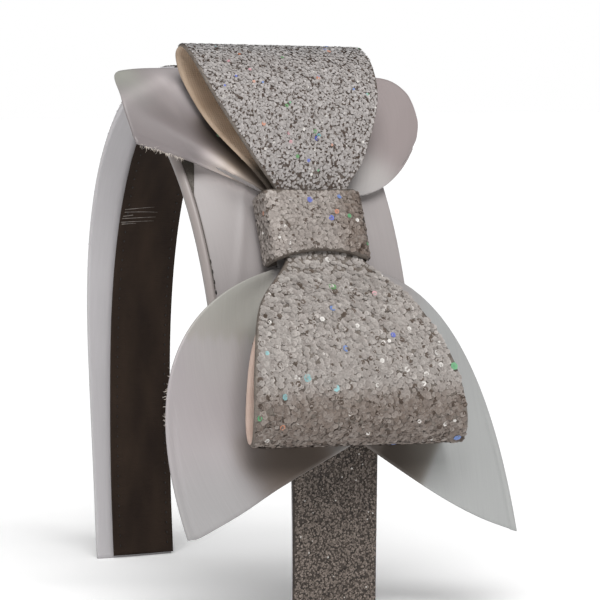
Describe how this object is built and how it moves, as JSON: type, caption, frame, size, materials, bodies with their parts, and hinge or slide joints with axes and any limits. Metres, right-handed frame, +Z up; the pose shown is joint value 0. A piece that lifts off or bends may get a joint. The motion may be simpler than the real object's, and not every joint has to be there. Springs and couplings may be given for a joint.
{
  "type": "bow headband",
  "caption": "Arched headband covered in glitter canvas, with a folded glitter bow and its knot over a swallow-tailed satin ribbon bow on one side.",
  "frame": {"origin": "middle of the footprint box, on the surface that the two ends of the band stand on", "axes": "+Z up from the ends to the top of the arch, Y from the leg with the bow (-Y) to the plain leg (+Y), X across the width of the band"},
  "size_m": [0.088, 0.1454, 0.1334],
  "materials": {
    "satin": "smooth satin weave with a soft sheen, pale silver",
    "glitter": "silver champagne glitter flakes on a beige canvas back",
    "lining": "dark brown, dull, closely woven"
  },
  "bodies": {
    "root": {"band_core": "satin", "inner_lining": "lining", "glitter_cover": "glitter", "satin_base": "satin", "satin_bow": "satin", "glitter_bow": "glitter", "knot": "glitter"}
  },
  "joints": []
}
